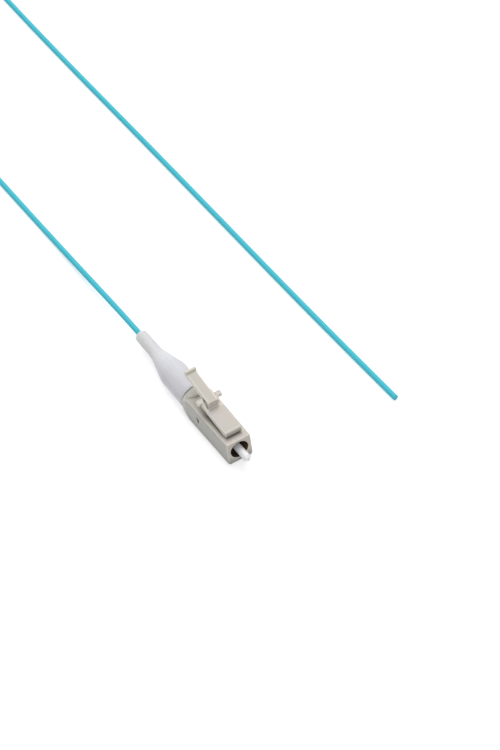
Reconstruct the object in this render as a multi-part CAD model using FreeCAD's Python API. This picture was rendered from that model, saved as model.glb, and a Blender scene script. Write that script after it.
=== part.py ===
import FreeCAD, Part
import math
import os

# LC simplex fibre plug on a pigtail. Millimetres. The origin is on the optical
# axis at the plug's front face, +X runs out of the nose, +Z is the latch side.

V = FreeCAD.Vector
X_AXIS = V(1, 0, 0)
Y_AXIS = V(0, 1, 0)
Z_AXIS = V(0, 0, 1)

# ---- ferrule and fibre
ferrule_r = 0.6245
ferrule_length = 6.46
ferrule_reach = 2.47          # tip ahead of the front face
ferrule_tip_r = 0.36
ferrule_chamfer = 0.32        # length of the tip's cone
ferrule_rear_r = 0.610        # the length pressed into the holder tapers to this
ferrule_funnel = 0.45
funnel_mouth_r = 0.42
glass_r = 0.0625
glass_clearance = 0.0005
coating_r = 0.125
coating_length = 4.9
jacket_r = 0.45
jacket_front_back = 7.0       # where the jacket is stripped, behind the front face
jacket_bore_depth = 3.2       # room for the coated fibre to slide
telescope_clearance = 0.03

# ---- plug housing
nose_half_width = 2.12
rear_half_width = 2.27
underside_drop = 2.22         # underside below the axis
top_rise = 2.10               # flat top above the axis
edge_round = 0.40
nose_round = 0.22
nose_bore_r = 1.48
nose_bore_depth = 3.0
mouth_chamfer = 0.10
web_thickness = 1.0           # cross wall behind the nose bore
float_gap = 0.07              # round the holder's spigot in the web
web_bore_overrun = 0.5        # cutters reach this far past the web
rear_bore_r = 1.65
housing_length = 13.35
rim_r = 2.26
cone_length = 1.15
cone_front_r = 3.16
collar_rise = 2.40            # top of the collar above the axis
collar_front = 11.30          # furthest forward point of the collar's step
collar_front_r = 3.44         # plan radius of that step
window_rear = 9.10
window_length = 0.60
window_low = -0.22
window_high = 0.58

# ---- latch lever
foot_front = 1.18
foot_rear = 2.60              # the lever bends from here back
brow_front = 0.98             # the rounded brow overhangs the foot
brow_low = 2.40
brow_tip_low = 2.58
brow_tip_high = 2.76
brow_back = 1.38
brow_rise = 3.12
foot_half_width = 1.37
brow_corner_round = 0.38
brow_top_round = 0.22
plate_start = 0.20            # clearance under the plate at its root
step_at = 6.80
plate_rise_at_step = 3.50
plate_end = 8.35
plate_under_end = 2.98
arm_half_width = 0.86
arm_rise_at_step = 4.71
arm_end = 13.50
arm_rise_at_end = 5.91
arm_thickness_front = 1.10
arm_thickness_end = 0.80
groove_length = 0.28
groove_depth = 0.16
lip_length = 0.46
lip_height = 0.34
lip_half_width = 0.95
lip_overhang = 0.02           # behind the arm's end
lip_round = 0.20
lug_centre_back = 7.80
lug_centre_rise = 4.26
lug_r = 0.48
lug_reach = 1.88              # from the middle to a lug's tip
lug_end_round = 0.12
web_foot_back = 6.30          # where the side webs start on the plate
web_knee_back = 6.95
web_knee_rise = 3.93
web_top_back = 7.35
web_top_drop = 0.05           # below the top of the lugs

# ---- ferrule holder (flange) and its liner
spigot_r = 0.95
spigot_length = 1.5
head_across_flats = 2.60
head_length = 1.40
head_cone = 0.25
tail_r = 0.85
tail_length = 5.6
liner_gap = 0.01
liner_r = 0.56
liner_wall = 0.08
liner_inset = 0.10            # short of the tail's end
liner_overlap = 0.6           # ahead of the jacket's stripped end
pocket_gap = 0.10             # round the hexagon in its pocket

# ---- return spring
spring_wire_r = 0.14
spring_mean_r = 1.06
spring_turns = 6.5

# ---- rear body
cup_front = 7.95
cup_gap = 0.05                # round the cup in the housing
cup_wall = 0.25
cup_bottom = 12.0             # behind the front face
disc_r = 2.02
disc_length = 0.25
jacket_gap = 0.05
stem_r = 1.12
stem_length = 6.4
rib_rise = 0.22
rib_count = 4
rib_pitch = 1.35
rib_first = 0.9               # first rib behind the disc
rib_crest = 0.25
rib_length = 0.8
snap_gap = 0.05               # between a snap and its window
snap_sunk = 0.17              # snap's face below the housing's rear width
snap_ledge = 0.3              # flat part of a snap, behind its ramp
snap_toe = 0.02               # height of a ramp's front end above the cup
snap_root_share = 0.8         # a snap reaches this deep into the cup wall

# ---- strain relief boot
boot_r = 2.27
boot_wide_length = 6.2
boot_taper_length = 5.2
boot_neck_r = 1.10
boot_tail_r = 1.04
boot_tail_length = 5.0
boot_front_round = 0.10
boot_tail_round = 0.30
socket_gap = 0.03             # round the ribs in the boot
socket_extra = 0.2

# ---- pigtail
start_in_boot = 1.4           # free fibre starts this far inside the boot
coil_centre = V(-131.5, 13.5, 0)
coil_mid_r = 8.1
coil_layers = 4
coil_turns = 14.5
coil_entry_run = 2.4          # a run's end reaches this far from the coil's middle
coil_entry_out = -0.02
coil_entry_back = -0.04
coil_entry_down = -0.08

# ---- places worked out from the sizes above
ferrule_rear = ferrule_reach - ferrule_length
web_front = -nose_bore_depth
web_rear = web_front - web_thickness
head_rear = web_rear - head_length
spigot_front = web_rear + spigot_length
tail_rear = head_rear - tail_length
disc_rear = -housing_length - disc_length
stem_rear = disc_rear - stem_length
boot_wide_rear = disc_rear - boot_wide_length
boot_taper_rear = boot_wide_rear - boot_taper_length
boot_rear = boot_taper_rear - boot_tail_length
coating_rear = ferrule_rear - coating_length
jacket_front = -jacket_front_back
fibre_start = boot_rear + start_in_boot
lay = jacket_r - underside_drop          # height of a fibre that lies on the floor
layer_turns = coil_turns / coil_layers
coil_outer_turn_r = coil_mid_r + layer_turns * jacket_r
coil_inner_turn_r = coil_mid_r - layer_turns * jacket_r
coil_top = lay + (coil_layers - 1) * 2 * jacket_r
coil_south = coil_centre.y - coil_outer_turn_r
coil_north = coil_centre.y + coil_outer_turn_r

# The pigtail leaves the boot level, comes down to the floor, and climbs onto the
# put-away coil; from the coil's lowest turn it runs back beside the plug.
route_out = [
    V(fibre_start, 0, 0), V(-34.0, 0, 0), V(-47.0, 0, -0.90), V(-60.0, 0.01, lay),
    V(-72.0, -0.23, lay), V(-84.0, -0.42, lay), V(-95.5, -0.15, lay), V(-107.0, 0.95, -1.35),
    V(-119.0, 3.1, 0.55), V(-131.5, coil_south, coil_top),
]
route_back = [
    V(-131.5, coil_north, lay), V(-116.0, 23.26, lay), V(-96.0, 23.42, lay),
    V(-75.0, 23.82, lay), V(-50.0, 24.16, lay), V(-28.0, 24.42, lay),
    V(-11.0, 24.76, lay), V(3.7, 25.17, lay),
]


def rod(x_from, x_to, radius):
    """A round bar along X."""
    return Part.makeCylinder(radius, x_to - x_from, V(x_from, 0, 0), X_AXIS)


def block(x, y, z):
    """A box between pairs of limits."""
    return Part.makeBox(x[1] - x[0], y[1] - y[0], z[1] - z[0], V(x[0], y[0], z[0]))


def turned(profile):
    """Revolve (x, radius) points about the optical axis."""
    points = [V(x, 0, r) for x, r in profile]
    face = Part.Face(Part.makePolygon(points + points[:1]))
    return face.revolve(V(0, 0, 0), X_AXIS, 360)


def side_cut(profile, half_width):
    """Extrude (x, z) points to both sides of the middle plane."""
    points = [V(x, -half_width, z) for x, z in profile]
    face = Part.Face(Part.makePolygon(points + points[:1]))
    return face.extrude(V(0, 2 * half_width, 0))


def hexagon(x_from, x_to, across_flats):
    """A six-sided bar along X with flats top and bottom."""
    corner_r = across_flats / 2 / math.cos(math.pi / 6)
    corners = [
        V(x_from, corner_r * math.cos(k * math.pi / 3), corner_r * math.sin(k * math.pi / 3))
        for k in range(6)
    ]
    face = Part.Face(Part.makePolygon(corners + corners[:1]))
    return face.extrude(V(x_to - x_from, 0, 0))


def edges_where(shape, test):
    """The straight edges whose two ends pass a test."""
    return [
        e for e in shape.Edges
        if len(e.Vertexes) == 2 and all(test(v.Point) for v in e.Vertexes)
    ]


def drafted_bar(top):
    """The housing's square bar, which widens from the nose to the rear."""
    corners = [
        V(0, -nose_half_width, -underside_drop), V(0, nose_half_width, -underside_drop),
        V(-housing_length, rear_half_width, -underside_drop),
        V(-housing_length, -rear_half_width, -underside_drop),
    ]
    face = Part.Face(Part.makePolygon(corners + corners[:1]))
    bar = face.extrude(V(0, 0, top + underside_drop))
    long_edges = [e for e in bar.Edges if e.Length > housing_length / 2]
    return bar.makeFillet(edge_round, long_edges)


def plug_housing():
    """One moulding: square drafted body, raised round collar, stepped bore."""
    body = drafted_bar(top_rise)
    front = [e for e in body.Edges if e.BoundBox.XMin > -nose_round / 2]
    body = body.makeFillet(nose_round, front)
    step = Part.makeCylinder(
        collar_front_r, 2 * collar_rise, V(-collar_front - collar_front_r, 0, 0), Z_AXIS)
    body = body.fuse(drafted_bar(collar_rise).common(step))

    cone = turned([
        (-housing_length, 0), (-housing_length, rim_r),
        (-housing_length + cone_length, cone_front_r), (1, cone_front_r + 1), (1, 0),
    ])
    body = body.common(cone)

    mouth = turned([
        (mouth_chamfer, 0), (mouth_chamfer, nose_bore_r + 2 * mouth_chamfer),
        (-mouth_chamfer, nose_bore_r), (-nose_bore_depth, nose_bore_r), (-nose_bore_depth, 0),
    ])
    pocket = hexagon(head_rear, web_rear, head_across_flats + 2 * pocket_gap)
    cuts = [
        mouth,
        rod(web_rear - web_bore_overrun, web_front + web_bore_overrun, spigot_r + float_gap),
        pocket,
        rod(-housing_length - 1, head_rear, rear_bore_r),
        block((-window_rear, -window_rear + window_length),
              (-rear_half_width - 1, rear_half_width + 1), (window_low, window_high)),
    ]
    for cut in cuts:
        body = body.cut(cut)
    return body.removeSplitter()


def latch_lever():
    """Spring latch: foot on the nose, sprung plate, stepped thumb arm and two lugs."""
    plate_slope = (plate_rise_at_step - brow_rise) / (step_at - brow_back)
    plate_top_end = plate_rise_at_step + plate_slope * (plate_end - step_at)
    plate = side_cut([
        (-foot_front, top_rise), (-foot_front, brow_low), (-brow_front, brow_tip_low),
        (-brow_front, brow_tip_high), (-brow_back, brow_rise),
        (-step_at, plate_rise_at_step), (-plate_end, plate_top_end),
        (-plate_end, plate_under_end), (-foot_rear, top_rise + plate_start),
        (-foot_rear, top_rise),
    ], foot_half_width)
    brow_sides = [
        e for e in edges_where(plate, lambda p: p.x > -foot_rear and p.z > brow_tip_low - 0.01)
        if e.BoundBox.YLength < 0.01
    ]
    plate = plate.makeFillet(brow_corner_round, brow_sides)
    brow = [
        e for e in edges_where(plate, lambda p: abs(p.z - brow_rise) < 0.01)
        if e.BoundBox.XMin > -foot_rear and e.BoundBox.YLength > foot_half_width
    ]
    plate = plate.makeFillet(brow_top_round, brow)

    arm_slope = (arm_rise_at_end - arm_rise_at_step) / (arm_end - step_at)
    groove_at = arm_end - lip_length - groove_length

    def arm_top(back):
        return arm_rise_at_step + arm_slope * (back - step_at)

    arm = side_cut([
        (-step_at, plate_under_end), (-step_at, arm_rise_at_step),
        (-groove_at, arm_top(groove_at)),
        (-groove_at - groove_length / 2, arm_top(groove_at) - groove_depth),
        (-groove_at - groove_length, arm_top(groove_at) - groove_depth / 2),
        (-groove_at - groove_length, arm_top(arm_end)),
        (-arm_end, arm_top(arm_end)), (-arm_end, arm_top(arm_end) - arm_thickness_end),
        (-plate_end, arm_top(plate_end) - arm_thickness_front), (-plate_end, plate_under_end),
    ], arm_half_width)
    lip = block((-arm_end - lip_overhang, -arm_end + lip_length), (-lip_half_width, lip_half_width),
                (arm_top(arm_end) - arm_thickness_end, arm_top(arm_end) + lip_height))
    across = [e for e in lip.Edges if abs(e.BoundBox.YMax - e.BoundBox.YMin) > lip_half_width
              and e.BoundBox.ZMin > arm_top(arm_end)]
    lip = lip.makeFillet(lip_round, across)

    web_top = lug_centre_rise + lug_r - web_top_drop
    webs = side_cut([
        (-web_foot_back, plate_under_end), (-web_foot_back, plate_rise_at_step - plate_slope),
        (-web_knee_back, web_knee_rise), (-web_top_back, web_top), (-plate_end, web_top),
        (-plate_end, plate_under_end),
    ], foot_half_width)
    between = block((-step_at, 0), (-arm_half_width, arm_half_width),
                    (plate_rise_at_step - plate_slope, web_top + 1))
    webs = webs.cut(between)
    lugs = Part.makeCylinder(
        lug_r, 2 * lug_reach, V(-lug_centre_back, -lug_reach, lug_centre_rise), Y_AXIS)
    tips = [e for e in lugs.Edges if len(e.Vertexes) == 1 or e.Length > 2 * lug_reach]
    rims = [e for e in tips if abs(e.BoundBox.YMax - e.BoundBox.YMin) < 0.01]
    lugs = lugs.makeFillet(lug_end_round, rims)
    return plate.fuse([arm, lip, webs, lugs]).removeSplitter()


def ferrule():
    """Ceramic ferrule: polished cone tip, fibre bore and rear funnel."""
    bore_r = glass_r + glass_clearance
    return turned([
        (ferrule_reach, bore_r), (ferrule_reach, ferrule_tip_r),
        (ferrule_reach - ferrule_chamfer, ferrule_r), (spigot_front, ferrule_r),
        (ferrule_rear, ferrule_rear_r),
        (ferrule_rear, funnel_mouth_r), (ferrule_rear + ferrule_funnel, bore_r),
    ])


def ferrule_holder():
    """Turned metal holder: spigot, six-sided head and long tail tube."""
    shape = rod(web_rear, spigot_front, spigot_r)
    head = hexagon(head_rear, web_rear, head_across_flats)
    corner_r = head_across_flats / 2 / math.cos(math.pi / 6)
    eased = turned([
        (web_rear, 0), (web_rear, corner_r - head_cone), (web_rear - head_cone, corner_r),
        (head_rear, corner_r), (head_rear, 0),
    ])
    shape = shape.fuse([head.common(eased), rod(tail_rear, head_rear, tail_r)])
    socket = turned([
        (ferrule_rear, 0), (ferrule_rear, ferrule_rear_r), (spigot_front, ferrule_r),
        (spigot_front + 1, ferrule_r), (spigot_front + 1, 0),
    ])
    shape = shape.cut(socket)
    shape = shape.cut(rod(tail_rear - 1, ferrule_rear, liner_r + liner_gap))
    return shape.removeSplitter()


def liner_tube():
    """Thin slippery tube that guides the jacketed fibre inside the holder's tail."""
    rear = tail_rear + liner_inset
    front = jacket_front + liner_overlap
    return rod(rear, front, liner_r).cut(rod(rear - 1, front + 1, liner_r - liner_wall))


def return_spring():
    """Round wire spring between the holder's head and the bottom of the cup."""
    front = head_rear
    rear = -cup_bottom
    length = front - rear
    pitch = (length + 2 * spring_wire_r) / spring_turns
    path = Part.makeHelix(pitch, length + 2 * spring_wire_r, spring_mean_r)
    section = Part.Wire(Part.makeCircle(spring_wire_r, V(spring_mean_r, 0, 0), Y_AXIS))
    coil = Part.Wire(path.Edges).makePipeShell([section], True, True)
    coil.rotate(V(0, 0, 0), Y_AXIS, 90)
    coil.translate(V(rear - spring_wire_r, 0, 0))
    ground = rod(rear, front, spring_mean_r + 2 * spring_wire_r)
    return coil.common(ground)


def rear_body():
    """Spring stop: cup with two side snaps, end disc and ribbed stem."""
    cup_r = rear_bore_r - cup_gap
    shape = rod(-housing_length, -cup_front, cup_r)
    disc = rod(disc_rear, -housing_length, disc_r)
    stem = rod(stem_rear, disc_rear, stem_r)
    ribs = []
    for k in range(rib_count):
        rib_front = disc_rear - rib_first - k * rib_pitch
        ribs.append(turned([
            (rib_front, 0), (rib_front, stem_r + rib_rise),
            (rib_front - rib_crest, stem_r + rib_rise), (rib_front - rib_length, stem_r),
            (rib_front - rib_length, 0),
        ]))
    snaps = []
    low = window_low + snap_gap
    for side in (-1, 1):
        root_y = side * cup_r * snap_root_share
        face_y = side * (rear_half_width - snap_sunk)
        rear_x = -window_rear + snap_gap
        front_x = -window_rear + window_length - snap_gap
        points = [
            V(rear_x, root_y, low), V(rear_x, face_y, low), V(rear_x + snap_ledge, face_y, low),
            V(front_x, side * (cup_r + snap_toe), low), V(front_x, root_y, low),
        ]
        face = Part.Face(Part.makePolygon(points + points[:1]))
        snaps.append(face.extrude(V(0, 0, window_high - snap_gap - low)))
    shape = shape.fuse([disc, stem] + ribs + snaps)
    shape = shape.cut(rod(-cup_bottom, -cup_front + 1, cup_r - cup_wall))
    shape = shape.cut(rod(stem_rear - 1, -cup_bottom + 1, jacket_r + jacket_gap))
    return shape.removeSplitter()


def strain_boot():
    """Soft boot: wide grip, straight taper and slim tail round the fibre."""
    outside = turned([
        (disc_rear, 0), (disc_rear, boot_r), (boot_wide_rear, boot_r),
        (boot_taper_rear, boot_neck_r), (boot_rear, boot_tail_r), (boot_rear, 0),
    ])
    tail = [e for e in outside.Edges if abs(e.BoundBox.XMin - boot_rear) < 0.01
            and abs(e.BoundBox.XMax - boot_rear) < 0.01 and e.Length > boot_tail_r]
    outside = outside.makeFillet(boot_tail_round, tail)
    front = [e for e in outside.Edges if abs(e.BoundBox.XMin - disc_rear) < 0.01
             and abs(e.BoundBox.XMax - disc_rear) < 0.01 and e.Length > boot_r]
    outside = outside.makeFillet(boot_front_round, front)
    socket = rod(stem_rear - socket_extra, disc_rear + 1, stem_r + rib_rise + socket_gap)
    bore = rod(boot_rear - 1, disc_rear, jacket_r + jacket_gap)
    return outside.cut(socket).cut(bore)


def glass_fibre():
    """Bare glass in the ferrule's bore."""
    return rod(ferrule_rear, ferrule_reach, glass_r)


def coated_fibre():
    """Coated fibre behind the ferrule, free to move in the jacket's end."""
    return rod(coating_rear, ferrule_rear, coating_r)


def jacket_end():
    """The jacketed fibre inside the plug, up to where it hangs free."""
    shape = rod(fibre_start, jacket_front, jacket_r)
    bore = rod(jacket_front - jacket_bore_depth, jacket_front + 1, coating_r + telescope_clearance)
    return shape.cut(bore)


def bent_tube(points, radius, name):
    """A round tube along straight runs joined by the largest tangent arcs."""
    runs = [(b - a).Length for a, b in zip(points, points[1:])]
    edges = []
    start = points[0]
    smallest = None
    for k in range(1, len(points) - 1):
        before = (points[k - 1] - points[k]).normalize()
        after = (points[k + 1] - points[k]).normalize()
        turn = math.pi - before.getAngle(after)
        setback = 0.45 * min(runs[k - 1], runs[k])
        bend_r = setback / math.tan(turn / 2)
        smallest = bend_r if smallest is None else min(smallest, bend_r)
        enter = points[k] + before * setback
        leave = points[k] + after * setback
        inward = (before + after).normalize()
        centre_distance = bend_r / math.cos(turn / 2)
        middle = points[k] + inward * (centre_distance - bend_r)
        edges.append(Part.LineSegment(start, enter).toShape())
        edges.append(Part.Arc(enter, middle, leave).toShape())
        start = leave
    edges.append(Part.LineSegment(start, points[-1]).toShape())
    path = Part.Wire(edges)
    section = Part.Wire(Part.makeCircle(radius, points[0], points[1] - points[0]))
    tube = path.makePipeShell([section], True, False)
    expected = math.pi * radius ** 2 * path.Length
    print(name, "length %.1f" % path.Length, "smallest bend radius %.1f" % smallest,
          "volume over section x length %.4f" % (tube.Volume / expected))
    return tube


def fibre_out():
    """Free fibre from the boot to the coil."""
    last = route_out[-1] + V(coil_entry_run, coil_entry_out, coil_entry_down)
    return bent_tube(route_out[:-1] + [last], jacket_r, "fibre_out")


def fibre_back():
    """Free fibre from the coil to its square-cut end."""
    first = route_back[0] + V(coil_entry_run, coil_entry_back, 0)
    return bent_tube([first] + route_back[1:], jacket_r, "fibre_back")


def fibre_coil():
    """Outer shape of the put-away coil: a ring that lies on the floor."""
    outer = coil_outer_turn_r + jacket_r
    inner = coil_inner_turn_r - jacket_r
    base = coil_centre + V(0, 0, -underside_drop)
    height = coil_layers * 2 * jacket_r
    ring = Part.makeCylinder(outer, height, base).cut(Part.makeCylinder(inner, height, base))
    rims = [e for e in ring.Edges if abs(e.BoundBox.ZMax - e.BoundBox.ZMin) < 0.01]
    return ring.makeFillet(jacket_r, rims)


PIECES = {
    "plug_housing": plug_housing,
    "latch_lever": latch_lever,
    "ferrule": ferrule,
    "ferrule_holder": ferrule_holder,
    "liner_tube": liner_tube,
    "return_spring": return_spring,
    "rear_body": rear_body,
    "strain_boot": strain_boot,
    "glass_fibre": glass_fibre,
    "coated_fibre": coated_fibre,
    "jacket_end": jacket_end,
    "fibre_out": fibre_out,
    "fibre_coil": fibre_coil,
    "fibre_back": fibre_back,
}

os.makedirs("parts", exist_ok=True)
for name, make in PIECES.items():
    shape = make()
    solids = shape.Solids
    print("%-15s solids %d valid %s volume %.3f" % (name, len(solids), shape.isValid(), shape.Volume))
    solid = solids[0] if len(solids) == 1 else shape
    solid.exportStep("parts/" + name + ".step")
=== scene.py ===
import math

import bmesh
import bpy
from mathutils import Matrix, Vector


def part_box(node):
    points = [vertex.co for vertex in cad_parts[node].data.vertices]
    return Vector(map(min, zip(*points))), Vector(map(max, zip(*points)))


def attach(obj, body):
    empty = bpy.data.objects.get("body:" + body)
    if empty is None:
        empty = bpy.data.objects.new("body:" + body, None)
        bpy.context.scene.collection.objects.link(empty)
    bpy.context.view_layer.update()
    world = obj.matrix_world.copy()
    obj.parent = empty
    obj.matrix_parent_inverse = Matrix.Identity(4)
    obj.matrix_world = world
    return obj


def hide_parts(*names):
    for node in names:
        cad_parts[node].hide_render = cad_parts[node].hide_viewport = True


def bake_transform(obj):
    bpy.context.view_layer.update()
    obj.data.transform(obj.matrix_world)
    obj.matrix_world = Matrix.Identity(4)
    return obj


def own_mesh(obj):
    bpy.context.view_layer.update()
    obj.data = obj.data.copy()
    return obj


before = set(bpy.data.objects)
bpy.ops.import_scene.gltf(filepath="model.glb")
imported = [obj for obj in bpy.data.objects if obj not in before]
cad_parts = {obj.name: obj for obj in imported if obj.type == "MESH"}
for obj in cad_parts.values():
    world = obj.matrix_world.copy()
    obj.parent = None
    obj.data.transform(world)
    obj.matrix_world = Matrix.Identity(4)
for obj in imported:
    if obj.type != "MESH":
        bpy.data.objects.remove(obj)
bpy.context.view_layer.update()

scene = bpy.context.scene
scene.view_settings.view_transform = "Standard"


# ---- Camera
# A long lens above the plug's nose, looking down along the fibre, with the plug
# below the middle of the picture.
camera = bpy.data.objects.new("camera", bpy.data.cameras.new("camera"))
scene.collection.objects.link(camera)
camera.location = (0.262305, -0.117079, 0.306616)
camera.rotation_euler = (0.772101, 0.109672, 1.027841)
camera.data.lens = 135.583
camera.data.sensor_width = 36
camera.data.clip_start = 0.01
scene.camera = camera


# ---- Table top, room and lamps
# A plain white table under the plug, a white room, one broad soft lamp overhead
# and a weak one in front. None of them is part of the object.
class Wire:
    """A shader socket in an expression: sums, products and tests on it add Math nodes."""

    def __init__(self, tree, socket=None):
        self.tree = tree
        self.socket = socket

    def node(self, kind, settings=(), sockets=(), output=0):
        """Add a node: its settings first, then the values or links of its sockets."""
        made = self.tree.nodes.new("ShaderNode" + kind)
        for name, value in dict(settings).items():
            setattr(made, name, value)
        for key, value in dict(sockets).items():
            self.feed(made.inputs[key], value)
        return Wire(self.tree, made.outputs[output])

    def feed(self, target, value):
        """Link a wire into a socket, or set the socket's own value."""
        if isinstance(value, Wire):
            self.tree.links.new(value.socket, target)
        else:
            target.default_value = value

    def other(self, name):
        """Another output of this wire's node."""
        return Wire(self.tree, self.socket.node.outputs[name])

    def math(self, operation, first, second=0.0):
        return self.node("Math", {"operation": operation}, {0: first, 1: second})

    def mix(self, low, high):
        """A colour from low to high, with this wire as the factor."""
        low, high = (c if isinstance(c, Wire) else (*c, 1) for c in (low, high))
        return self.node("Mix", {"data_type": "RGBA"}, {0: self, 6: low, 7: high}, 2)

    def __add__(self, other):
        return self.math("ADD", self, other)

    def __radd__(self, other):
        return self.math("ADD", other, self)

    def __mul__(self, other):
        return self.math("MULTIPLY", self, other)

    def __rmul__(self, other):
        return self.math("MULTIPLY", other, self)

    def __lt__(self, other):
        return self.math("LESS_THAN", self, other)

    def __gt__(self, other):
        return self.math("GREATER_THAN", self, other)


def new_finish(name, colour, roughness):
    """A material, its shader, and a wire to start its expressions from."""
    material = bpy.data.materials.new(name)
    material.use_nodes = True
    shader = material.node_tree.nodes["Principled BSDF"]
    shader.inputs["Base Color"].default_value = (*colour, 1)
    shader.inputs["Roughness"].default_value = roughness
    return material, shader, Wire(material.node_tree)


def new_piece(name, bm, material):
    """An object at the origin from a finished bmesh."""
    mesh = bpy.data.meshes.new(name)
    bm.to_mesh(mesh)
    bm.free()
    mesh.materials.append(material)
    piece = bpy.data.objects.new(name, mesh)
    scene.collection.objects.link(piece)
    return piece


def looked_at(wire):
    """1 where the camera, a mirror or a glass looks, and 0 where light only bounces."""
    ray = wire.node("LightPath")
    return ray + ray.other("Is Glossy Ray") + ray.other("Is Transmission Ray")


white = (1, 1, 1, 1)
table_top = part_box("plug_housing")[0][2]
table_finish, shader, wire = new_finish("table_white", (0.82, 0.82, 0.82), 0.9)
shader.inputs["Specular IOR Level"].default_value = 0.0
surface = Wire(wire.tree, shader.outputs[0])
glow = wire.node("Emission", {}, {"Color": white, "Strength": 0.5})
lit = wire.node("AddShader", {}, {0: surface, 1: glow})
seen = wire.node("MixShader", {}, {0: looked_at(wire), 1: surface, 2: lit})
wire.feed(wire.tree.nodes["Material Output"].inputs["Surface"], seen)

bm = bmesh.new()
bmesh.ops.create_grid(bm, x_segments=1, y_segments=1, size=0.5)
bmesh.ops.translate(bm, verts=bm.verts, vec=(0, 0, table_top))
table = new_piece("table", bm, table_finish)

world = bpy.data.worlds.new("room")
world.use_nodes = True
wire = Wire(world.node_tree)
dim_room = wire.node("Background", {}, {"Color": white, "Strength": 0.315})
white_room = wire.node("Background", {}, {"Color": white, "Strength": 1.0})
room = wire.node("MixShader", {}, {0: looked_at(wire), 1: dim_room, 2: white_room})
wire.feed(world.node_tree.nodes["World Output"].inputs["Surface"], room)
scene.world = world


def soft_lamp(name, place, aim, size, power):
    """A square soft box that faces a point."""
    lamp = bpy.data.objects.new(name, bpy.data.lights.new(name, "AREA"))
    lamp.data.size = size
    lamp.data.energy = power
    lamp.location = place
    lamp.rotation_euler = (Vector(aim) - Vector(place)).to_track_quat("-Z", "Y").to_euler()
    scene.collection.objects.link(lamp)


plug_middle = (-0.01, 0, 0)
soft_lamp("overhead_lamp", (-0.42, 0.26, 0.78), plug_middle, size=0.8, power=5.6)
soft_lamp("front_lamp", (0.55, -0.14, 0.50), plug_middle, size=0.4, power=1.5)


# ---- Fibre pigtail
# Tight-buffered fibre: a 0.9 mm aqua jacket extruded over the coated glass. It comes
# out of the boot, its stored length is wound into a neat coil, and it ends cut square.
fibre_wide = 0.0009
coil_middle = Vector((-0.1315, 0.0135, 0))
coil_mean = 0.0081
coil_low = table_top + fibre_wide / 2
coil_layers = 4
layer_turns = 3.625
step_turns = 0.5        # the end of a layer, in which the fibre steps down to the next
points_a_turn = 16

# Out of the boot, down to the table, and up on to the coil.
route = [Vector(p) for p in (
    (-0.0286, 0, 0), (-0.0340, 0, 0), (-0.0470, 0, -0.00090), (-0.0600, 0.00001, -0.00177),
    (-0.0720, -0.00023, -0.00177), (-0.0840, -0.00042, -0.00177),
    (-0.0955, -0.00015, -0.00177), (-0.1070, 0.00095, -0.00135), (-0.1190, 0.00310, 0.00055),
)]
# Round the coil from its top layer to its lowest, each wound inwards or outwards in turn.
for k in range(round(coil_layers * layer_turns * points_a_turn) + 1):
    turns = k / points_a_turn
    layer = min(int(turns / layer_turns), coil_layers - 1)
    along = turns - layer * layer_turns
    inward = along if layer % 2 == 0 else layer_turns - along
    radius = coil_mean + (layer_turns / 2 - inward) * fibre_wide
    radius /= math.cos(math.pi / points_a_turn)
    drop = min(max((along - layer_turns + step_turns) / step_turns, 0), 1)
    if layer == coil_layers - 1:
        drop = 0
    level = coil_low + (coil_layers - 1 - layer - drop) * fibre_wide
    angle = -math.pi / 2 - 2 * math.pi * turns
    spoke = Vector((radius * math.cos(angle), radius * math.sin(angle), level))
    route.append(coil_middle + spoke)
# Back along the table to the cut end.
route += [Vector(p) for p in (
    (-0.1160, 0.02326, -0.00177), (-0.0960, 0.02342, -0.00177), (-0.0750, 0.02382, -0.00177),
    (-0.0500, 0.02416, -0.00177), (-0.0280, 0.02442, -0.00177), (-0.0110, 0.02476, -0.00177),
    (0.0037, 0.02517, -0.00177),
)]


def coordinates(wire):
    """Where a point is on its piece, in metres, with its normal as another output."""
    return wire.node("TexCoord", {}, {}, "Object")


def noise(place, scale, detail):
    """Soft random clouds in space, between 0 and 1."""
    return place.node("TexNoise", {}, {"Vector": place, "Scale": scale, "Detail": detail})


def relief(shader, strength, depth, height):
    """Fine bumps on a finish: their depth in metres where the height wire is 1."""
    bump = height.node("Bump", {}, {"Strength": strength, "Distance": depth, "Height": height})
    height.feed(shader.inputs["Normal"], bump)


jacket_finish, shader, wire = new_finish("aqua_jacket", (0.062, 0.53, 0.66), 0.55)
shader.inputs["Specular IOR Level"].default_value = 0.3
place = coordinates(wire)
speck = noise(place, 5200.0, 2.0)
aqua = noise(place, 260.0, 3.0).mix((0.053, 0.55, 0.675), (0.072, 0.615, 0.75))
wire.feed(shader.inputs["Base Color"], aqua)
wire.feed(shader.inputs["Roughness"], 0.48 + 0.16 * speck)
relief(shader, 0.15, 0.00002, speck)

curve = bpy.data.curves.new("pigtail", "CURVE")
curve.dimensions = "3D"
curve.bevel_depth = fibre_wide / 2
curve.bevel_resolution = 6
curve.resolution_u = 8
curve.use_fill_caps = True
line = curve.splines.new("NURBS")
line.points.add(len(route) - 1)
for point, stop in zip(line.points, route):
    point.co = (*stop, 1)
line.order_u = 3
line.use_endpoint_u = True
curve.materials.append(jacket_finish)
pigtail = bpy.data.objects.new("pigtail", curve)
scene.collection.objects.link(pigtail)
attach(pigtail, "root")
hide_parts("fibre_out", "fibre_coil", "fibre_back")


# ---- Fibre inside the plug
# Bare glass in the ferrule's bore, its clear acrylate coating behind it, and the end of
# the jacket, stripped back from it.
def dress(node, material):
    """Give a CAD node its finished material."""
    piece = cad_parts[node]
    if not piece.material_slots:
        piece.data.materials.append(material)
    for slot in piece.material_slots:
        slot.material = material


glass_finish, shader, wire = new_finish("fibre_glass", (0.9, 0.92, 0.95), 0.02)
shader.inputs["Transmission Weight"].default_value = 1.0
shader.inputs["IOR"].default_value = 1.46
place = coordinates(wire)
wire.feed(shader.inputs["Roughness"], 0.01 + 0.05 * noise(place, 30000.0, 2.0))
dress("glass_fibre", glass_finish)

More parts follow.
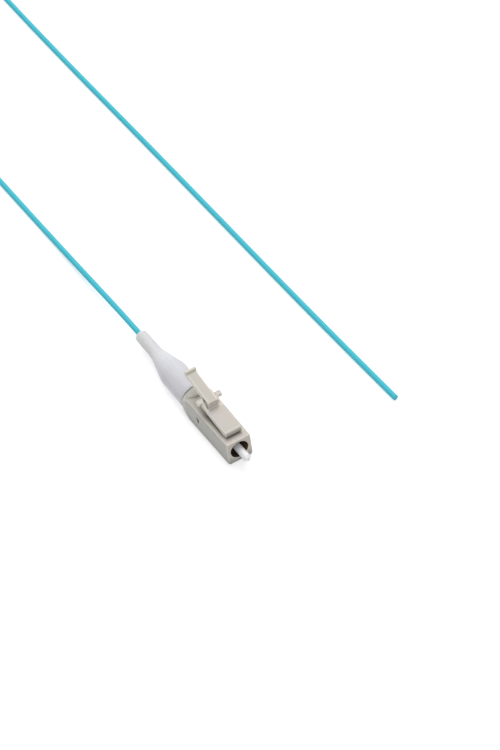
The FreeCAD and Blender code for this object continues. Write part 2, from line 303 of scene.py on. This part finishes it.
coating_finish, shader, wire = new_finish("acrylate_coating", (0.80, 0.80, 0.76), 0.2)
shader.inputs["Coat Weight"].default_value = 0.5
place = coordinates(wire)
acrylate = noise(place, 4000.0, 3.0).mix((0.77, 0.77, 0.73), (0.83, 0.83, 0.79))
wire.feed(shader.inputs["Base Color"], acrylate)
dress("coated_fibre", coating_finish)
dress("jacket_end", jacket_finish)


# ---- Strain relief boot
# One soft white moulding pushed over the ribbed stem: a wide grip, a long taper and
# a slim tail. Faint flow lines run along it.
def stretched(place, scale):
    """Object coordinates scaled along each axis, for marks that run one way."""
    return place.node("Mapping", {}, {"Vector": place, "Scale": scale})


def axes(vector):
    """The x, y and z of a vector."""
    parts = vector.node("SeparateXYZ", {}, {0: vector})
    return parts, parts.other("Y"), parts.other("Z")


def ramp(value, start, end, low, high):
    """Low up to the start, high past the end, and an even run between them."""
    return value.node("MapRange", {}, {0: value, 1: start, 2: end, 3: low, 4: high})


boot_finish, shader, wire = new_finish("boot_rubber", (0.68, 0.68, 0.74), 0.55)
shader.inputs["Subsurface Weight"].default_value = 1.0
shader.inputs["Subsurface Radius"].default_value = (1, 1, 1)
shader.inputs["Subsurface Scale"].default_value = 0.0022
place = coordinates(wire)
flow = noise(stretched(place, (120.0, 2600.0, 2600.0)), 1.0, 4.0)
speck = noise(place, 7000.0, 3.0)
rubber = flow.mix((0.63, 0.66, 0.74), (0.86, 0.835, 0.89))
# The rubber is thin at the tail; there it is painted lighter, most of all on its flank, as
# painted light.
slim = ramp(axes(place)[0], -0.0205, -0.0250, 0.0, 1.0)
painted_light_flank = ramp(axes(place.other("Normal"))[1], 0.5, -0.6, 0.1, 0.9)
rubber = (slim * painted_light_flank).mix(rubber, (0.95, 0.93, 0.98))
wire.feed(shader.inputs["Base Color"], rubber)
wire.feed(shader.inputs["Roughness"], 0.48 + 0.16 * speck)
relief(shader, 0.2, 0.00003, flow + 0.5 * speck)


def turned(corners, steps):
    """Spin a closed (x, radius, corner round) outline in millimetres about the optical axis."""
    bm = bmesh.new()
    outline = [bm.verts.new((x, 0, r)) for x, r, rounding in corners]
    bm.faces.new(outline)
    for vertex, (x, r, rounding) in zip(outline, corners):
        if rounding:
            bmesh.ops.bevel(bm, geom=[vertex], offset=rounding, offset_type="OFFSET",
                            segments=8, profile=0.5, affect="VERTICES", material=-1)
    bmesh.ops.delete(bm, geom=bm.faces[:], context="FACES_ONLY")
    bmesh.ops.spin(bm, geom=bm.verts[:] + bm.edges[:], cent=(0, 0, 0), axis=(1, 0, 0),
                   angle=2 * math.pi, steps=steps, use_merge=True)
    bmesh.ops.remove_doubles(bm, verts=bm.verts[:], dist=0.0005)
    bmesh.ops.recalc_face_normals(bm, faces=bm.faces[:])
    bmesh.ops.scale(bm, vec=(0.001, 0.001, 0.001), verts=bm.verts[:])
    return bm


boot_front, boot_rear = -13.6, -30.0
taper_from, taper_to = -19.8, -25.0
grip_r, tail_r, tip_r = 2.27, 1.10, 1.04
hole_r = 0.50
stem_r, stem_end = 1.37, -20.2      # the room for the rear body's stem
boot = new_piece("boot", turned([
    (boot_front, stem_r, 0), (boot_front, grip_r, 0.10), (taper_from, grip_r, 0.4),
    (taper_to, tail_r, 0.5), (boot_rear, tip_r, 0.20), (boot_rear, hole_r, 0.05),
    (stem_end, hole_r, 0), (stem_end, stem_r, 0),
], steps=96), boot_finish)
boot.data.shade_smooth()
boot.data.set_sharp_from_angle(angle=math.radians(35))
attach(boot, "root")
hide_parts("strain_boot")


# ---- Rear body
# A grey moulded spring stop: its cup snaps into the housing by two side catches, and
# its ribbed stem holds the boot.
def shaded_corners(wire, colour, clear):
    """A colour painted dark brown deep in gaps and bores, as painted shade where little light
    gets in.
    """
    open_air = wire.node("AmbientOcclusion", {"samples": 8}, {"Distance": 0.003}, "AO")
    return ramp(open_air, 0.10, clear, 0.0, 1.0).mix((0.045, 0.028, 0.018), colour)


grey_finish, shader, wire = new_finish("grey_plastic", (0.42, 0.42, 0.42), 0.5)
place = coordinates(wire)
grey = noise(place, 500.0, 2.0).mix((0.39, 0.39, 0.39), (0.45, 0.45, 0.45))
# Its catches in the side windows and its disc against the boot lie in deep shade.
along, aside = axes(place)[:2]
sunk = wire.math("MAXIMUM", wire.math("ABSOLUTE", aside) > 0.0017, along < -0.0132)
grey = sunk.mix(grey, (0.06, 0.057, 0.05))
wire.feed(shader.inputs["Base Color"], shaded_corners(wire, grey, 0.8))
wire.feed(shader.inputs["Roughness"], 0.42 + 0.16 * noise(place, 6500.0, 3.0))
dress("rear_body", grey_finish)


# ---- Return spring
# Drawn steel wire wound in six and a half turns, its ends ground flat. It sits in the
# rear body's cup.
spring_finish, shader, wire = new_finish("spring_steel", (0.55, 0.55, 0.56), 0.3)
shader.inputs["Metallic"].default_value = 1.0
place = coordinates(wire)
drawn = noise(place, 3500.0, 4.0)
steel = drawn.mix((0.48, 0.48, 0.50), (0.62, 0.62, 0.62))
wire.feed(shader.inputs["Base Color"], steel)
wire.feed(shader.inputs["Roughness"], 0.22 + 0.2 * drawn)

spring_rear, spring_front = -12.0, -5.4
spring_turns = 6.5
spring_mean = 1.06
spring_steps = 208
wire_r = 0.14
pitch_run = spring_front - spring_rear + 2 * wire_r
bm = bmesh.new()
bmesh.ops.create_circle(bm, segments=14, radius=wire_r)
bmesh.ops.rotate(bm, verts=bm.verts, matrix=Matrix.Rotation(math.pi / 2, 3, "X"))
bmesh.ops.translate(bm, verts=bm.verts, vec=(spring_rear - wire_r, 0, spring_mean))
bmesh.ops.spin(bm, geom=bm.verts[:] + bm.edges[:], cent=(0, 0, 0), axis=(1, 0, 0),
               dvec=(pitch_run / spring_steps, 0, 0), angle=spring_turns * 2 * math.pi,
               steps=spring_steps)
for x, outward in ((spring_rear, -1), (spring_front, 1)):
    bmesh.ops.bisect_plane(bm, geom=bm.verts[:] + bm.edges[:] + bm.faces[:], plane_co=(x, 0, 0),
                           plane_no=(outward, 0, 0), clear_outer=True)
bmesh.ops.remove_doubles(bm, verts=bm.verts[:], dist=0.0005)
bmesh.ops.holes_fill(bm, edges=bm.edges[:], sides=0)
bmesh.ops.recalc_face_normals(bm, faces=bm.faces[:])
bmesh.ops.scale(bm, vec=(0.001, 0.001, 0.001), verts=bm.verts[:])
spring = new_piece("spring", bm, spring_finish)
spring.data.shade_smooth()
spring.data.set_sharp_from_angle(angle=math.radians(40))
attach(spring, "root")
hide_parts("return_spring")
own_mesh(spring)


# ---- Liner tube
# A thin slippery plastic tube, cut from extruded stock and pushed into the holder's
# tail, where it guides the fibre.
liner_finish, shader, wire = new_finish("liner_plastic", (0.85, 0.85, 0.83), 0.35)
place = coordinates(wire)
drawn = noise(stretched(place, (200.0, 5000.0, 5000.0)), 1.0, 3.0)
tube = drawn.mix((0.82, 0.82, 0.80), (0.88, 0.88, 0.86))
wire.feed(shader.inputs["Base Color"], tube)
wire.feed(shader.inputs["Roughness"], 0.28 + 0.16 * drawn)
dress("liner_tube", liner_finish)


# ---- Ferrule holder
# Turned brass, nickel plated: the ferrule is pressed into its front, and its six-sided
# head keeps it from turning in the housing.
nickel_finish, shader, wire = new_finish("nickel_plate", (0.62, 0.60, 0.56), 0.25)
shader.inputs["Metallic"].default_value = 1.0
place = coordinates(wire)
turning = noise(stretched(place, (14000.0, 250.0, 250.0)), 1.0, 3.0)
nickel = turning.mix((0.56, 0.54, 0.50), (0.68, 0.66, 0.62))
wire.feed(shader.inputs["Base Color"], nickel)
wire.feed(shader.inputs["Roughness"], 0.18 + 0.2 * turning)
dress("ferrule_holder", nickel_finish)


# ---- Ferrule
# Zirconia ceramic, ground to size and polished at its coned tip. Fine grinding marks
# run round it.
ceramic_finish, shader, wire = new_finish("zirconia", (0.88, 0.88, 0.90), 0.2)
shader.inputs["Coat Weight"].default_value = 0.2
place = coordinates(wire)
ground = noise(stretched(place, (16000.0, 300.0, 300.0)), 1.0, 3.0)
ceramic = ground.mix((0.88, 0.88, 0.90), (0.92, 0.92, 0.93))
# The coned tip is painted whiter, as painted light.
painted_light_tip = ramp(axes(place)[0], 0.0012, 0.0030, 0.0, 1.0)
wire.feed(shader.inputs["Base Color"], painted_light_tip.mix(ceramic, (0.98, 0.98, 0.98)))
wire.feed(shader.inputs["Roughness"], 0.14 + 0.14 * ground)
dress("ferrule", ceramic_finish)


# ---- Plug housing
# One beige moulding: a square body that widens to the rear, a raised collar whose rear
# rim is coned down to the boot, and a stepped bore that the ferrule floats in.
plastic_finish, shader, wire = new_finish("beige_plastic", (0.60, 0.56, 0.49), 0.45)
place = coordinates(wire)
along, aside, height = axes(place)
ahead, leaning, upward = axes(place.other("Normal"))
facing = wire.math("ABSOLUTE", ahead)
across = wire.math("ABSOLUTE", leaning)
upward = wire.math("MAXIMUM", upward, 0.0)
top_low, top_high = 0.0019, 0.0022          # the flat top
collar_low, collar_high = 0.0020, 0.0026
plate_low, plate_high = 0.0023, 0.0037      # the latch's plate
on_plate = (height > plate_low) * (height < plate_high)

# Warm and cool clouds in the plastic.
cool = ramp(noise(place, 300.0, 1.0), 0.52, 0.72, 0.0, 0.8)
plastic = noise(place, 420.0, 2.0).mix((0.595, 0.53, 0.475), (0.545, 0.52, 0.46))
plastic = cool.mix(plastic, (0.54, 0.525, 0.555))

# Rounded edges are painted lighter, as painted highlights, but the roll at the plate's front
# only on top.
roll_highlight = ramp(upward, 0.60, 0.85, -0.7, 0.1)
edge = facing * across + across * upward + facing * upward * (1 + roll_highlight * on_plate)
edge = ramp(edge, 0.18, 0.48, 0.0, 1.0)
# The housing's two sides, and what faces the boot, are painted greyer, as painted shade.
shaded_side = across * across * (height < top_high) * (along > -0.0122)
shaded_rear_face = ramp(ahead, -0.2, -0.45, 0.0, 0.75) * (along < -0.0110)
# The latch's thin sides and the top of its lip are painted lighter, as painted light.
painted_light_sides = across * across * (height > plate_low)
painted_light_lip = ramp(height, 0.0057, 0.0061, 0.0, 0.8)
# Shade lies under the roll of the plate's front, along the foot of the housing, and
# on its top beside the latch.
under_roll = ramp(height, 0.0033, 0.0025, 0.0, 0.85) * on_plate * facing * (along > -0.0016)
low_edge = ramp(height, -0.0006, -0.0021, 0.0, 0.8)
on_top = (height > top_low) * (height < top_high) * (along < -0.0018) * upward
by_latch = ramp(wire.math("ABSOLUTE", aside), 0.0020, 0.0015, 0.0, 0.4)
by_latch = by_latch * ramp(along, -0.0096, -0.0084, 0.0, 1.0) * on_top
# The collar's top, inside the arc of its front step, is painted darker as painted shade, and so
# is the step.
arc_back, arc_radius = 0.01474, 0.0036
from_arc = along + arc_back
collar_shade = (from_arc * from_arc + aside * aside) < arc_radius ** 2
collar_shade = collar_shade * (height > collar_low) * (height < collar_high)
step_shade = ramp(ahead, 0.15, 0.5, 0.0, 0.35) * collar_shade
# The bore is painted black, and brown on its left wall, as painted shade with a little painted
# light on that wall.
bore_radius = 0.0016
in_bore = (aside * aside + height * height < bore_radius ** 2) * (along < -0.00012)
bore_shade = (aside > 0.0005).mix((0.03, 0.022, 0.016), (0.26, 0.14, 0.065))

# Each colour lies over the ones before it.
for where, shade in (
    (edge, (0.84, 0.80, 0.715)), (shaded_side, (0.465, 0.46, 0.43)),
    (shaded_rear_face, (0.42, 0.41, 0.37)), (painted_light_sides, (0.82, 0.79, 0.70)),
    (painted_light_lip, (0.82, 0.78, 0.68)), (under_roll, (0.20, 0.20, 0.175)),
    (low_edge, (0.30, 0.31, 0.28)), (by_latch, (0.10, 0.095, 0.08)),
    (0.4 * collar_shade, (0.40, 0.385, 0.35)), (step_shade, (0.20, 0.19, 0.165)), (in_bore, bore_shade),
):
    plastic = where.mix(plastic, shade)
speck = noise(place, 6500.0, 3.0)
wire.feed(shader.inputs["Base Color"], shaded_corners(wire, plastic, 0.52))
wire.feed(shader.inputs["Roughness"], 0.34 + 0.16 * speck)
relief(shader, 0.15, 0.00002, speck)


def melted(name, bm, material, voxel, passes):
    """One skin over a bmesh's shells in millimetres, its edges eased, brought to metres."""
    shells = new_piece(name + "_shells", bm, material)
    skin = shells.modifiers.new("skin", "REMESH")
    skin.mode = "VOXEL"
    skin.voxel_size = voxel
    bpy.context.view_layer.update()
    bm = bmesh.new()
    bm.from_object(shells, bpy.context.evaluated_depsgraph_get())
    bpy.data.objects.remove(shells)
    for _ in range(passes):
        bmesh.ops.smooth_vert(bm, verts=bm.verts[:], factor=0.5, use_axis_x=True,
                              use_axis_y=True, use_axis_z=True)
    bmesh.ops.scale(bm, vec=(0.001, 0.001, 0.001), verts=bm.verts[:])
    piece = new_piece(name, bm, material)
    piece.data.shade_smooth()
    return piece


window_x, window_z = -8.8, 0.18
window_reach_x, window_reach_z = 0.35, 0.47
wall_from = 1.2             # the side walls lie outside this distance from the axis
window_growth = 1.3         # the skin's soft edges close the side windows in again
collar_foot, collar_rise = 2.05, 0.35
collar_narrowing = 0.22
corner_x, corner_y, corner_z = -11.3, 2.27, 2.1
corner_slope = 0.55         # the long corners are cut back, deeper to the rear
bm = bmesh.new()
bm.from_mesh(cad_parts["plug_housing"].data)
bmesh.ops.scale(bm, vec=(1000, 1000, 1000), verts=bm.verts[:])
bmesh.ops.remove_doubles(bm, verts=bm.verts[:], dist=0.0005)
for vertex in bm.verts:
    x, y, z = vertex.co
    by_window = abs(x - window_x) < window_reach_x and abs(z - window_z) < window_reach_z
    if by_window and abs(y) > wall_from:
        vertex.co.x = window_x + window_growth * (x - window_x)
        vertex.co.z = window_z + window_growth * (z - window_z)
    raised = min(max((z - collar_foot) / collar_rise, 0), 1)
    vertex.co.y *= 1 - collar_narrowing * raised
for side in (-1, 1):
    for up in (-1, 1):
        bmesh.ops.bisect_plane(bm, geom=bm.verts[:] + bm.edges[:] + bm.faces[:], dist=0.0001,
                               plane_co=(corner_x, side * corner_y, up * corner_z),
                               plane_no=(-corner_slope, side, up), clear_outer=True)
        bmesh.ops.holes_fill(bm, edges=[e for e in bm.edges if e.is_boundary], sides=0)
housing = melted("housing", bm, plastic_finish, voxel=0.07, passes=12)
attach(housing, "root")
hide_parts("plug_housing")


# ---- Latch lever
# The sprung latch is moulded in one with the plug: a flat plate on a foot at the nose,
# a stepped thumb arm with a lip at its end, and two round lugs on side webs.
def side_form(outline, half_width, rounds=()):
    """Extrude an (x, z) outline in millimetres to both sides of the middle plane.

    rounds gives the corners that are rounded first, as (number, radius)."""
    bm = bmesh.new()
    corners = [bm.verts.new((x, -half_width, z)) for x, z in outline]
    bm.faces.new(corners)
    for index, rounding in rounds:
        bmesh.ops.bevel(bm, geom=[corners[index]], offset=rounding, offset_type="OFFSET",
                        segments=6, profile=0.5, affect="VERTICES", material=-1)
    grown = bmesh.ops.extrude_face_region(bm, geom=bm.faces[:])
    moved = [v for v in grown["geom"] if isinstance(v, bmesh.types.BMVert)]
    bmesh.ops.translate(bm, verts=moved, vec=(0, 2 * half_width, 0))
    bmesh.ops.recalc_face_normals(bm, faces=bm.faces[:])
    return bm


def eased(bm, rounding, x_range, z_range):
    """Round the edges of the two side faces that lie inside both ranges."""
    edges = []
    for edge in bm.edges:
        a, b = (vertex.co for vertex in edge.verts)
        in_x = x_range[0] < min(a.x, b.x) and max(a.x, b.x) < x_range[1]
        in_z = z_range[0] < min(a.z, b.z) and max(a.z, b.z) < z_range[1]
        if in_x and in_z and abs(a.y - b.y) < 0.01:
            edges.append(edge)
    bmesh.ops.bevel(bm, geom=edges, offset=rounding, offset_type="OFFSET", segments=5,
                    profile=0.5, affect="EDGES", material=-1, clamp_overlap=True)


def joined(parts):
    """One bmesh with every shell of the parts in it."""
    whole = bmesh.new()
    for part in parts:
        mesh = bpy.data.meshes.new("shell")
        part.to_mesh(mesh)
        part.free()
        whole.from_mesh(mesh)
        bpy.data.meshes.remove(mesh)
    return whole


plate_end, plate_under = -8.35, 2.98
arm_front, web_front = -6.80, -6.30
lip_front, lip_foot = -13.04, 5.11
plate = side_form([
    (-1.75, 2.10), (-1.70, 2.34), (-1.32, 2.36), (-1.08, 2.46), (-1.12, 3.20),
    (arm_front, 3.50), (plate_end, 3.61), (plate_end, plate_under), (-2.60, 2.28),
    (-2.60, 2.10),
], half_width=1.37, rounds=[(4, 0.66), (8, 0.3)])
# The side edges of its front roll, then those of its top.
eased(plate, 0.36, (-1.5, 0), (2.4, 4))
eased(plate, 0.16, (-9, -1.6), (3.1, 4))
arm = side_form([
    (arm_front, plate_under), (arm_front, 4.71), (-12.76, 5.78), (-12.90, 5.62),
    (lip_front, 5.70), (lip_front, 5.91), (-13.50, 5.91), (-13.50, lip_foot),
    (plate_end, 3.89), (plate_end, plate_under),
], half_width=0.86)
eased(arm, 0.18, (-12.8, -6.7), (4.6, 6))
lip = side_form([
    (lip_front, lip_foot), (lip_front, 6.25), (-13.52, 6.25), (-13.52, lip_foot),
], half_width=0.95, rounds=[(1, 0.20), (2, 0.20)])
shells = [plate, arm, lip]

web_aside, fill_aside = 1.235, 1.00
lug_r, lug_long, lug_ease = 0.50, 0.94, 0.14
lug_middle = Vector((-8.08, 1.59, 4.27))
for side in (-1, 1):
    web = side_form([
        (web_front, plate_under), (web_front, 3.46), (-7.10, 3.78), (-7.66, 4.50),
        (plate_end, 4.60), (plate_end, plate_under),
    ], half_width=0.135, rounds=[(2, 0.5)])
    bmesh.ops.translate(web, verts=web.verts, vec=(0, side * web_aside, 0))
    # Plastic fills the slit between web and arm, nearly to the top on the left.
    rise = 0.30 if side > 0 else 0
    fill = side_form([
        (web_front, plate_under), (web_front, 3.26), (-7.10, 3.50 + rise / 2),
        (-7.66, 4.12 + rise), (plate_end, 4.28 + rise), (plate_end, plate_under),
    ], half_width=0.22)
    bmesh.ops.translate(fill, verts=fill.verts, vec=(0, side * fill_aside, 0))
    lug = bmesh.new()
    bmesh.ops.create_cone(lug, cap_ends=True, segments=40, radius1=lug_r, radius2=lug_r,
                          depth=lug_long)
    rims = [e for e in lug.edges if abs(e.verts[0].co.z - e.verts[1].co.z) < 0.01]
    bmesh.ops.bevel(lug, geom=rims, offset=lug_ease, offset_type="OFFSET", segments=4,
                    profile=0.5, affect="EDGES", material=-1)
    bmesh.ops.rotate(lug, verts=lug.verts, matrix=Matrix.Rotation(math.pi / 2, 3, "X"))
    bmesh.ops.translate(lug, verts=lug.verts, vec=lug_middle * Vector((1, side, 1)))
    shells += [web, fill, lug]

latch = melted("latch", joined(shells), plastic_finish, voxel=0.05, passes=5)
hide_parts("latch_lever")
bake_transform(latch)
